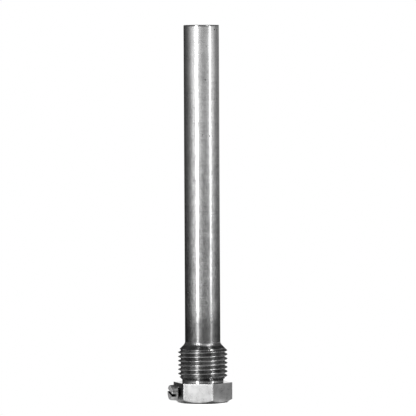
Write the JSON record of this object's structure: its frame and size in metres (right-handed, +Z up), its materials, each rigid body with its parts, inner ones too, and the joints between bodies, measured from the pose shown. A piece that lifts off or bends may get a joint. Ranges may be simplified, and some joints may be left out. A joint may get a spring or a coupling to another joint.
{
  "type": "thermowell",
  "caption": "Closed steel sheath tube on a hexagon boss with a parallel pipe thread, and a slotted screw across the bore that clamps the sensor.",
  "frame": {"origin": "centre of the bore's mouth, on the outer face of the hexagon that the part stands on", "axes": "+Z up the tube towards its closed tip, -X out along the clamp screw towards its head, +Y completes the right-handed frame"},
  "size_m": [0.0259, 0.0254, 0.16],
  "materials": {
    "turned_steel": "turned and milled stainless steel, lightly scuffed",
    "drawn_steel": "drawn and polished stainless tube with fine lengthwise streaks",
    "weld_steel": "cleaned weld bead",
    "screw_steel": "plain steel screw"
  },
  "bodies": {
    "well": {"hex_boss": "turned_steel", "sheath_tube": "drawn_steel", "end_plug": "drawn_steel", "shoulder_weld": "weld_steel"},
    "clamp_screw": {"clamp_screw": "screw_steel"}
  },
  "joints": [
    {"name": "clamp_screw_travel", "type": "slide", "parent": "well", "child": "clamp_screw", "axis": [-1, 0, 0], "range_m": [-0.0013, 0.003]}
  ]
}
